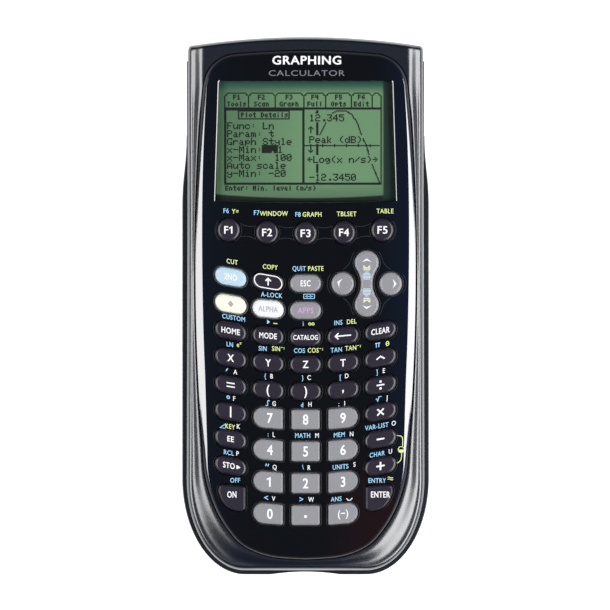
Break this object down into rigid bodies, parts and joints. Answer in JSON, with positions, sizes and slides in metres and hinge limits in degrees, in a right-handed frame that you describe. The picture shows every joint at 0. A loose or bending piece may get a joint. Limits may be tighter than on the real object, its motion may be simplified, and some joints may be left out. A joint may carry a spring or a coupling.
{
  "type": "graphing calculator",
  "caption": "Handheld graphing calculator: glossy face with pixel display, curved rows of sprung keys, cursor pad, and a slide cover stowed on its back.",
  "frame": {"origin": "centre of the bounding box, on the underside of the slide cover that it rests on", "axes": "+Z out of the face, +Y towards the display end, +X to the right when the face is read"},
  "size_m": [0.0852, 0.185, 0.0249],
  "materials": {
    "shell": "dark navy moulded plastic with a fine satin texture",
    "plate": "polished near-black plastic",
    "window": "clear polished sheet",
    "display": "grey-green reflective liquid-crystal glass",
    "mat": "soft grey silicone",
    "board": "green lacquered circuit board",
    "cells": "metal-jacketed cells",
    "key_dark": "dark violet-grey plastic, satin",
    "key_grey": "mid-grey plastic, satin",
    "key_blue": "light blue plastic, satin",
    "key_cream": "pale yellow-cream plastic, satin",
    "key_white": "white plastic, satin"
  },
  "bodies": {
    "case": {"front_case": "shell", "face_plate": "plate", "display_window": "window", "lcd_module": "display", "keypad_mat": "mat", "main_board": "board", "back_case": "shell", "battery_set": "cells", "backup_cell_cover": "shell"},
    "slide_cover": {"slide_cover": "shell"},
    "battery_door": {"battery_door": "shell"},
    "key_rocker": {"key_rocker": "key_grey"},
    "key_f1": {"key_f1": "key_dark"},
    "key_f2": {"key_f2": "key_dark"},
    "key_f3": {"key_f3": "key_dark"},
    "key_f4": {"key_f4": "key_dark"},
    "key_f5": {"key_f5": "key_dark"},
    "key_second": {"key_second": "key_blue"},
    "key_shift": {"key_shift": "key_dark"},
    "key_escape": {"key_escape": "key_grey"},
    "key_diamond": {"key_diamond": "key_cream"},
    "key_alpha": {"key_alpha": "key_white"},
    "key_apps": {"key_apps": "key_grey"},
    "key_left": {"key_left": "key_grey"},
    "key_right": {"key_right": "key_grey"},
    "key_home": {"key_home": "key_dark"},
    "key_mode": {"key_mode": "key_dark"},
    "key_catalog": {"key_catalog": "key_dark"},
    "key_backspace": {"key_backspace": "key_dark"},
    "key_clear": {"key_clear": "key_dark"},
    "key_x": {"key_x": "key_dark"},
    "key_y": {"key_y": "key_dark"},
    "key_z": {"key_z": "key_dark"},
    "key_t": {"key_t": "key_dark"},
    "key_power": {"key_power": "key_dark"},
    "key_equals": {"key_equals": "key_dark"},
    "key_open_paren": {"key_open_paren": "key_dark"},
    "key_close_paren": {"key_close_paren": "key_dark"},
    "key_comma": {"key_comma": "key_dark"},
    "key_divide": {"key_divide": "key_dark"},
    "key_with": {"key_with": "key_dark"},
    "key_7": {"key_7": "key_grey"},
    "key_8": {"key_8": "key_grey"},
    "key_9": {"key_9": "key_grey"},
    "key_multiply": {"key_multiply": "key_dark"},
    "key_ee": {"key_ee": "key_dark"},
    "key_4": {"key_4": "key_grey"},
    "key_5": {"key_5": "key_grey"},
    "key_6": {"key_6": "key_grey"},
    "key_minus": {"key_minus": "key_dark"},
    "key_store": {"key_store": "key_dark"},
    "key_1": {"key_1": "key_grey"},
    "key_2": {"key_2": "key_grey"},
    "key_3": {"key_3": "key_grey"},
    "key_plus": {"key_plus": "key_dark"},
    "key_on": {"key_on": "key_dark"},
    "key_0": {"key_0": "key_grey"},
    "key_point": {"key_point": "key_grey"},
    "key_negate": {"key_negate": "key_grey"},
    "key_enter": {"key_enter": "key_dark"}
  },
  "joints": [
    {"name": "slide_cover_slide", "type": "slide", "parent": "case", "child": "slide_cover", "axis": [0, -1, 0], "range_m": [0, 0.178]},
    {"name": "battery_door_slide", "type": "slide", "parent": "case", "child": "battery_door", "axis": [0, -1, 0], "range_m": [0, 0.0035]},
    {"name": "key_rocker_tilt", "type": "hinge", "parent": "case", "child": "key_rocker", "pos_m": [0.0209, 0.00783, 0.0224], "axis": [1, 0, 0], "range_deg": [-4, 4], "stiffness_Nm_per_rad": 0.06, "deforming": ["keypad_mat"]},
    {"name": "key_f1_press", "type": "slide", "parent": "case", "child": "key_f1", "axis": [0, 0, -1], "range_m": [0, 0.001], "stiffness_N_per_m": 400, "springref_m": -0.0004, "deforming": ["keypad_mat"]},
    {"name": "key_f2_press", "type": "slide", "parent": "case", "child": "key_f2", "axis": [0, 0, -1], "range_m": [0, 0.001], "stiffness_N_per_m": 400, "springref_m": -0.0004, "deforming": ["keypad_mat"]},
    {"name": "key_f3_press", "type": "slide", "parent": "case", "child": "key_f3", "axis": [0, 0, -1], "range_m": [0, 0.001], "stiffness_N_per_m": 400, "springref_m": -0.0004, "deforming": ["keypad_mat"]},
    {"name": "key_f4_press", "type": "slide", "parent": "case", "child": "key_f4", "axis": [0, 0, -1], "range_m": [0, 0.001], "stiffness_N_per_m": 400, "springref_m": -0.0004, "deforming": ["keypad_mat"]},
    {"name": "key_f5_press", "type": "slide", "parent": "case", "child": "key_f5", "axis": [0, 0, -1], "range_m": [0, 0.001], "stiffness_N_per_m": 400, "springref_m": -0.0004, "deforming": ["keypad_mat"]},
    {"name": "key_second_press", "type": "slide", "parent": "case", "child": "key_second", "axis": [0, 0, -1], "range_m": [0, 0.001], "stiffness_N_per_m": 400, "springref_m": -0.0004, "deforming": ["keypad_mat"]},
    {"name": "key_shift_press", "type": "slide", "parent": "case", "child": "key_shift", "axis": [0, 0, -1], "range_m": [0, 0.001], "stiffness_N_per_m": 400, "springref_m": -0.0004, "deforming": ["keypad_mat"]},
    {"name": "key_escape_press", "type": "slide", "parent": "case", "child": "key_escape", "axis": [0, 0, -1], "range_m": [0, 0.001], "stiffness_N_per_m": 400, "springref_m": -0.0004, "deforming": ["keypad_mat"]},
    {"name": "key_diamond_press", "type": "slide", "parent": "case", "child": "key_diamond", "axis": [0, 0, -1], "range_m": [0, 0.001], "stiffness_N_per_m": 400, "springref_m": -0.0004, "deforming": ["keypad_mat"]},
    {"name": "key_alpha_press", "type": "slide", "parent": "case", "child": "key_alpha", "axis": [0, 0, -1], "range_m": [0, 0.001], "stiffness_N_per_m": 400, "springref_m": -0.0004, "deforming": ["keypad_mat"]},
    {"name": "key_apps_press", "type": "slide", "parent": "case", "child": "key_apps", "axis": [0, 0, -1], "range_m": [0, 0.001], "stiffness_N_per_m": 400, "springref_m": -0.0004, "deforming": ["keypad_mat"]},
    {"name": "key_left_press", "type": "slide", "parent": "case", "child": "key_left", "axis": [0, 0, -1], "range_m": [0, 0.001], "stiffness_N_per_m": 400, "springref_m": -0.0004, "deforming": ["keypad_mat"]},
    {"name": "key_right_press", "type": "slide", "parent": "case", "child": "key_right", "axis": [0, 0, -1], "range_m": [0, 0.001], "stiffness_N_per_m": 400, "springref_m": -0.0004, "deforming": ["keypad_mat"]},
    {"name": "key_home_press", "type": "slide", "parent": "case", "child": "key_home", "axis": [0, 0, -1], "range_m": [0, 0.001], "stiffness_N_per_m": 400, "springref_m": -0.0004, "deforming": ["keypad_mat"]},
    {"name": "key_mode_press", "type": "slide", "parent": "case", "child": "key_mode", "axis": [0, 0, -1], "range_m": [0, 0.001], "stiffness_N_per_m": 400, "springref_m": -0.0004, "deforming": ["keypad_mat"]},
    {"name": "key_catalog_press", "type": "slide", "parent": "case", "child": "key_catalog", "axis": [0, 0, -1], "range_m": [0, 0.001], "stiffness_N_per_m": 400, "springref_m": -0.0004, "deforming": ["keypad_mat"]},
    {"name": "key_backspace_press", "type": "slide", "parent": "case", "child": "key_backspace", "axis": [0, 0, -1], "range_m": [0, 0.001], "stiffness_N_per_m": 400, "springref_m": -0.0004, "deforming": ["keypad_mat"]},
    {"name": "key_clear_press", "type": "slide", "parent": "case", "child": "key_clear", "axis": [0, 0, -1], "range_m": [0, 0.001], "stiffness_N_per_m": 400, "springref_m": -0.0004, "deforming": ["keypad_mat"]},
    {"name": "key_x_press", "type": "slide", "parent": "case", "child": "key_x", "axis": [0, 0, -1], "range_m": [0, 0.001], "stiffness_N_per_m": 400, "springref_m": -0.0004, "deforming": ["keypad_mat"]},
    {"name": "key_y_press", "type": "slide", "parent": "case", "child": "key_y", "axis": [0, 0, -1], "range_m": [0, 0.001], "stiffness_N_per_m": 400, "springref_m": -0.0004, "deforming": ["keypad_mat"]},
    {"name": "key_z_press", "type": "slide", "parent": "case", "child": "key_z", "axis": [0, 0, -1], "range_m": [0, 0.001], "stiffness_N_per_m": 400, "springref_m": -0.0004, "deforming": ["keypad_mat"]},
    {"name": "key_t_press", "type": "slide", "parent": "case", "child": "key_t", "axis": [0, 0, -1], "range_m": [0, 0.001], "stiffness_N_per_m": 400, "springref_m": -0.0004, "deforming": ["keypad_mat"]},
    {"name": "key_power_press", "type": "slide", "parent": "case", "child": "key_power", "axis": [0, 0, -1], "range_m": [0, 0.001], "stiffness_N_per_m": 400, "springref_m": -0.0004, "deforming": ["keypad_mat"]},
    {"name": "key_equals_press", "type": "slide", "parent": "case", "child": "key_equals", "axis": [0, 0, -1], "range_m": [0, 0.001], "stiffness_N_per_m": 400, "springref_m": -0.0004, "deforming": ["keypad_mat"]},
    {"name": "key_open_paren_press", "type": "slide", "parent": "case", "child": "key_open_paren", "axis": [0, 0, -1], "range_m": [0, 0.001], "stiffness_N_per_m": 400, "springref_m": -0.0004, "deforming": ["keypad_mat"]},
    {"name": "key_close_paren_press", "type": "slide", "parent": "case", "child": "key_close_paren", "axis": [0, 0, -1], "range_m": [0, 0.001], "stiffness_N_per_m": 400, "springref_m": -0.0004, "deforming": ["keypad_mat"]},
    {"name": "key_comma_press", "type": "slide", "parent": "case", "child": "key_comma", "axis": [0, 0, -1], "range_m": [0, 0.001], "stiffness_N_per_m": 400, "springref_m": -0.0004, "deforming": ["keypad_mat"]},
    {"name": "key_divide_press", "type": "slide", "parent": "case", "child": "key_divide", "axis": [0, 0, -1], "range_m": [0, 0.001], "stiffness_N_per_m": 400, "springref_m": -0.0004, "deforming": ["keypad_mat"]},
    {"name": "key_with_press", "type": "slide", "parent": "case", "child": "key_with", "axis": [0, 0, -1], "range_m": [0, 0.001], "stiffness_N_per_m": 400, "springref_m": -0.0004, "deforming": ["keypad_mat"]},
    {"name": "key_7_press", "type": "slide", "parent": "case", "child": "key_7", "axis": [0, 0, -1], "range_m": [0, 0.001], "stiffness_N_per_m": 400, "springref_m": -0.0004, "deforming": ["keypad_mat"]},
    {"name": "key_8_press", "type": "slide", "parent": "case", "child": "key_8", "axis": [0, 0, -1], "range_m": [0, 0.001], "stiffness_N_per_m": 400, "springref_m": -0.0004, "deforming": ["keypad_mat"]},
    {"name": "key_9_press", "type": "slide", "parent": "case", "child": "key_9", "axis": [0, 0, -1], "range_m": [0, 0.001], "stiffness_N_per_m": 400, "springref_m": -0.0004, "deforming": ["keypad_mat"]},
    {"name": "key_multiply_press", "type": "slide", "parent": "case", "child": "key_multiply", "axis": [0, 0, -1], "range_m": [0, 0.001], "stiffness_N_per_m": 400, "springref_m": -0.0004, "deforming": ["keypad_mat"]},
    {"name": "key_ee_press", "type": "slide", "parent": "case", "child": "key_ee", "axis": [0, 0, -1], "range_m": [0, 0.001], "stiffness_N_per_m": 400, "springref_m": -0.0004, "deforming": ["keypad_mat"]},
    {"name": "key_4_press", "type": "slide", "parent": "case", "child": "key_4", "axis": [0, 0, -1], "range_m": [0, 0.001], "stiffness_N_per_m": 400, "springref_m": -0.0004, "deforming": ["keypad_mat"]},
    {"name": "key_5_press", "type": "slide", "parent": "case", "child": "key_5", "axis": [0, 0, -1], "range_m": [0, 0.001], "stiffness_N_per_m": 400, "springref_m": -0.0004, "deforming": ["keypad_mat"]},
    {"name": "key_6_press", "type": "slide", "parent": "case", "child": "key_6", "axis": [0, 0, -1], "range_m": [0, 0.001], "stiffness_N_per_m": 400, "springref_m": -0.0004, "deforming": ["keypad_mat"]},
    {"name": "key_minus_press", "type": "slide", "parent": "case", "child": "key_minus", "axis": [0, 0, -1], "range_m": [0, 0.001], "stiffness_N_per_m": 400, "springref_m": -0.0004, "deforming": ["keypad_mat"]},
    {"name": "key_store_press", "type": "slide", "parent": "case", "child": "key_store", "axis": [0, 0, -1], "range_m": [0, 0.001], "stiffness_N_per_m": 400, "springref_m": -0.0004, "deforming": ["keypad_mat"]},
    {"name": "key_1_press", "type": "slide", "parent": "case", "child": "key_1", "axis": [0, 0, -1], "range_m": [0, 0.001], "stiffness_N_per_m": 400, "springref_m": -0.0004, "deforming": ["keypad_mat"]},
    {"name": "key_2_press", "type": "slide", "parent": "case", "child": "key_2", "axis": [0, 0, -1], "range_m": [0, 0.001], "stiffness_N_per_m": 400, "springref_m": -0.0004, "deforming": ["keypad_mat"]},
    {"name": "key_3_press", "type": "slide", "parent": "case", "child": "key_3", "axis": [0, 0, -1], "range_m": [0, 0.001], "stiffness_N_per_m": 400, "springref_m": -0.0004, "deforming": ["keypad_mat"]},
    {"name": "key_plus_press", "type": "slide", "parent": "case", "child": "key_plus", "axis": [0, 0, -1], "range_m": [0, 0.001], "stiffness_N_per_m": 400, "springref_m": -0.0004, "deforming": ["keypad_mat"]},
    {"name": "key_on_press", "type": "slide", "parent": "case", "child": "key_on", "axis": [0, 0, -1], "range_m": [0, 0.001], "stiffness_N_per_m": 400, "springref_m": -0.0004, "deforming": ["keypad_mat"]},
    {"name": "key_0_press", "type": "slide", "parent": "case", "child": "key_0", "axis": [0, 0, -1], "range_m": [0, 0.001], "stiffness_N_per_m": 400, "springref_m": -0.0004, "deforming": ["keypad_mat"]},
    {"name": "key_point_press", "type": "slide", "parent": "case", "child": "key_point", "axis": [0, 0, -1], "range_m": [0, 0.001], "stiffness_N_per_m": 400, "springref_m": -0.0004, "deforming": ["keypad_mat"]},
    {"name": "key_negate_press", "type": "slide", "parent": "case", "child": "key_negate", "axis": [0, 0, -1], "range_m": [0, 0.001], "stiffness_N_per_m": 400, "springref_m": -0.0004, "deforming": ["keypad_mat"]},
    {"name": "key_enter_press", "type": "slide", "parent": "case", "child": "key_enter", "axis": [0, 0, -1], "range_m": [0, 0.001], "stiffness_N_per_m": 400, "springref_m": -0.0004, "deforming": ["keypad_mat"]}
  ]
}
